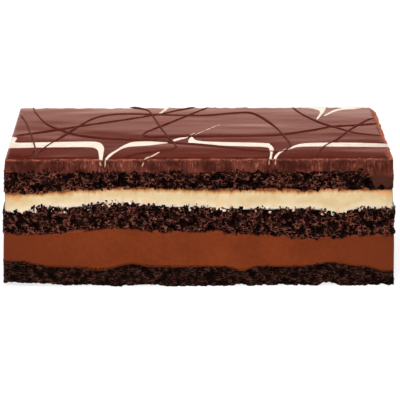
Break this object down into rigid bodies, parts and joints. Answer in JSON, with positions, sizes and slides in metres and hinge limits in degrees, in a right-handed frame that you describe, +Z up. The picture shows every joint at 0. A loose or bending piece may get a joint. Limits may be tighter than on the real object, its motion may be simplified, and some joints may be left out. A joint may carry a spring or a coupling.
{
  "type": "tuxedo cake",
  "caption": "Bar-shaped layer cake with cut sides: chocolate base, chocolate mousse, sponge, vanilla cream, sponge and a glossy ganache top feathered with white chocolate and fine drizzle.",
  "frame": {"origin": "centre of the bounding box's underside, on the surface that the cake stands on", "axes": "+X along the bar, +Y from the front cut side to the back one, +Z up"},
  "size_m": [0.2506, 0.1222, 0.0854],
  "materials": {
    "dense_base": "matte, dense, moist dark chocolate sponge",
    "mousse": "matte, smooth milk chocolate mousse",
    "sponge": "matte, open, crumbly dark chocolate sponge",
    "cream": "soft matte vanilla cream mousse",
    "ganache": "glossy poured dark chocolate ganache",
    "white_chocolate": "satin white chocolate feathering, flush with the ganache"
  },
  "bodies": {
    "root": {"base_sponge": "dense_base", "chocolate_mousse": "mousse", "middle_sponge": "sponge", "vanilla_cream": "cream", "top_sponge": "sponge", "ganache": "ganache", "white_feather_1": "white_chocolate", "white_feather_2": "white_chocolate", "white_feather_3": "white_chocolate", "white_feather_4": "white_chocolate", "white_feather_5": "white_chocolate", "white_feather_6": "white_chocolate", "white_feather_7": "white_chocolate", "white_feather_8": "white_chocolate"}
  },
  "joints": []
}
